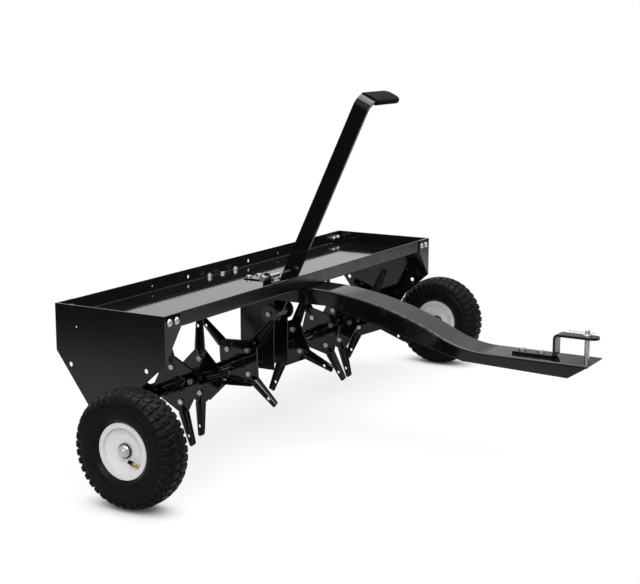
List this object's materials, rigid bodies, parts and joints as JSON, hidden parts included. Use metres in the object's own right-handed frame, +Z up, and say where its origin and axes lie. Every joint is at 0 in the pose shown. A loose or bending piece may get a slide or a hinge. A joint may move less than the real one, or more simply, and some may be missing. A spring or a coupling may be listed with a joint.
{
  "type": "tow behind lawn aerator",
  "caption": "Tow behind plug aerator: black steel weight tray on pneumatic wheels, coring stars on a cross shaft, lift lever with lock, and a gooseneck drawbar with pin hitch.",
  "frame": {"origin": "on the ground under the middle of the machine's bounding box, in the transport position", "axes": "+X along the axle towards the side the grip points to, -Y forward to the hitch, +Z up"},
  "size_m": [1.592, 1.059, 0.8468],
  "materials": {
    "black_paint": "gloss",
    "zinc_plate": "bright zinc",
    "white_paint": "semi-gloss",
    "tyre_rubber": "matte",
    "black_rubber": "matte",
    "black_nylon": "satin",
    "valve_brass": "polished"
  },
  "bodies": {
    "frame": {"tray_pan": "black_paint", "left_end_plate": "black_paint", "right_end_plate": "black_paint", "end_plate_bolts": "zinc_plate", "left_hanger": "black_paint", "right_hanger": "black_paint", "hanger_bolts": "zinc_plate", "shaft_bushes": "black_nylon", "drawbar": "black_paint", "drawbar_bolts": "zinc_plate", "hitch_strap": "black_paint", "hitch_bolts": "zinc_plate", "lever_pivot_bolt": "zinc_plate", "pivot_bosses": "black_paint", "lock_bracket": "black_paint"},
    "lever": {"lever": "black_paint", "lever_grip": "black_rubber"},
    "link": {"lift_link": "black_paint", "link_pins": "zinc_plate"},
    "transport_axle": {"cross_shaft": "zinc_plate", "crank_lug": "black_paint", "left_crank_arm": "black_paint", "right_crank_arm": "black_paint", "left_stub_axle": "zinc_plate", "right_stub_axle": "zinc_plate", "axle_nuts": "zinc_plate", "shaft_spacers": "black_paint"},
    "hitch_pin": {"hitch_pin": "zinc_plate", "hitch_clip": "zinc_plate"},
    "lock_plunger": {"lock_pin": "zinc_plate", "lock_knob": "zinc_plate"},
    "left_wheel": {"left_tyre": "tyre_rubber", "left_rim": "white_paint", "left_hub_bushes": "black_nylon", "left_valve_stem": "valve_brass", "left_valve_cap": "black_rubber"},
    "right_wheel": {"right_tyre": "tyre_rubber", "right_rim": "white_paint", "right_hub_bushes": "black_nylon", "right_valve_stem": "valve_brass", "right_valve_cap": "black_rubber"},
    "star_1": {"star_1": "black_paint", "star_1_bolts": "zinc_plate"},
    "star_2": {"star_2": "black_paint", "star_2_bolts": "zinc_plate"},
    "star_3": {"star_3": "black_paint", "star_3_bolts": "zinc_plate"},
    "star_4": {"star_4": "black_paint", "star_4_bolts": "zinc_plate"},
    "star_5": {"star_5": "black_paint", "star_5_bolts": "zinc_plate"},
    "star_6": {"star_6": "black_paint", "star_6_bolts": "zinc_plate"},
    "star_7": {"star_7": "black_paint", "star_7_bolts": "zinc_plate"},
    "star_8": {"star_8": "black_paint", "star_8_bolts": "zinc_plate"}
  },
  "joints": [
    {"name": "lever_lift", "type": "hinge", "parent": "frame", "child": "lever", "pos_m": [0, 0.3365, 0.279], "axis": [1, 0, 0], "range_deg": [-37, 0]},
    {"name": "link_swing", "type": "hinge", "parent": "lever", "child": "link", "pos_m": [0.0075, 0.38351, 0.30122], "axis": [1, 0, 0], "range_deg": [0, 37]},
    {"name": "crank_turn", "type": "hinge", "parent": "frame", "child": "transport_axle", "pos_m": [0, 0.3775, 0.167], "axis": [1, 0, 0], "range_deg": [-37, 0]},
    {"name": "left_wheel_spin", "type": "hinge", "parent": "transport_axle", "child": "left_wheel", "pos_m": [-0.753, 0.2295, 0.13], "axis": [1, 0, 0], "continuous": true},
    {"name": "right_wheel_spin", "type": "hinge", "parent": "transport_axle", "child": "right_wheel", "pos_m": [0.753, 0.2295, 0.13], "axis": [1, 0, 0], "continuous": true},
    {"name": "hitch_pin_lift", "type": "slide", "parent": "frame", "child": "hitch_pin", "axis": [0, 0, 1], "range_m": [0, 0.065]},
    {"name": "lock_slide", "type": "slide", "parent": "frame", "child": "lock_plunger", "axis": [1, 0, 0], "range_m": [0, 0.012]},
    {"name": "star_1_spin", "type": "hinge", "parent": "transport_axle", "child": "star_1", "pos_m": [-0.55276, 0.3775, 0.167], "axis": [1, 0, 0], "continuous": true},
    {"name": "star_2_spin", "type": "hinge", "parent": "transport_axle", "child": "star_2", "pos_m": [-0.3852, 0.3775, 0.167], "axis": [1, 0, 0], "continuous": true},
    {"name": "star_3_spin", "type": "hinge", "parent": "transport_axle", "child": "star_3", "pos_m": [-0.28826, 0.3775, 0.167], "axis": [1, 0, 0], "continuous": true},
    {"name": "star_4_spin", "type": "hinge", "parent": "transport_axle", "child": "star_4", "pos_m": [-0.12005, 0.3775, 0.167], "axis": [1, 0, 0], "continuous": true},
    {"name": "star_5_spin", "type": "hinge", "parent": "transport_axle", "child": "star_5", "pos_m": [0.12005, 0.3775, 0.167], "axis": [1, 0, 0], "continuous": true},
    {"name": "star_6_spin", "type": "hinge", "parent": "transport_axle", "child": "star_6", "pos_m": [0.28826, 0.3775, 0.167], "axis": [1, 0, 0], "continuous": true},
    {"name": "star_7_spin", "type": "hinge", "parent": "transport_axle", "child": "star_7", "pos_m": [0.3852, 0.3775, 0.167], "axis": [1, 0, 0], "continuous": true},
    {"name": "star_8_spin", "type": "hinge", "parent": "transport_axle", "child": "star_8", "pos_m": [0.55276, 0.3775, 0.167], "axis": [1, 0, 0], "continuous": true}
  ],
  "couplings": [
    {"joint": "crank_turn", "follows": "lever_lift", "ratio": 1},
    {"joint": "link_swing", "follows": "lever_lift", "ratio": -1}
  ]
}
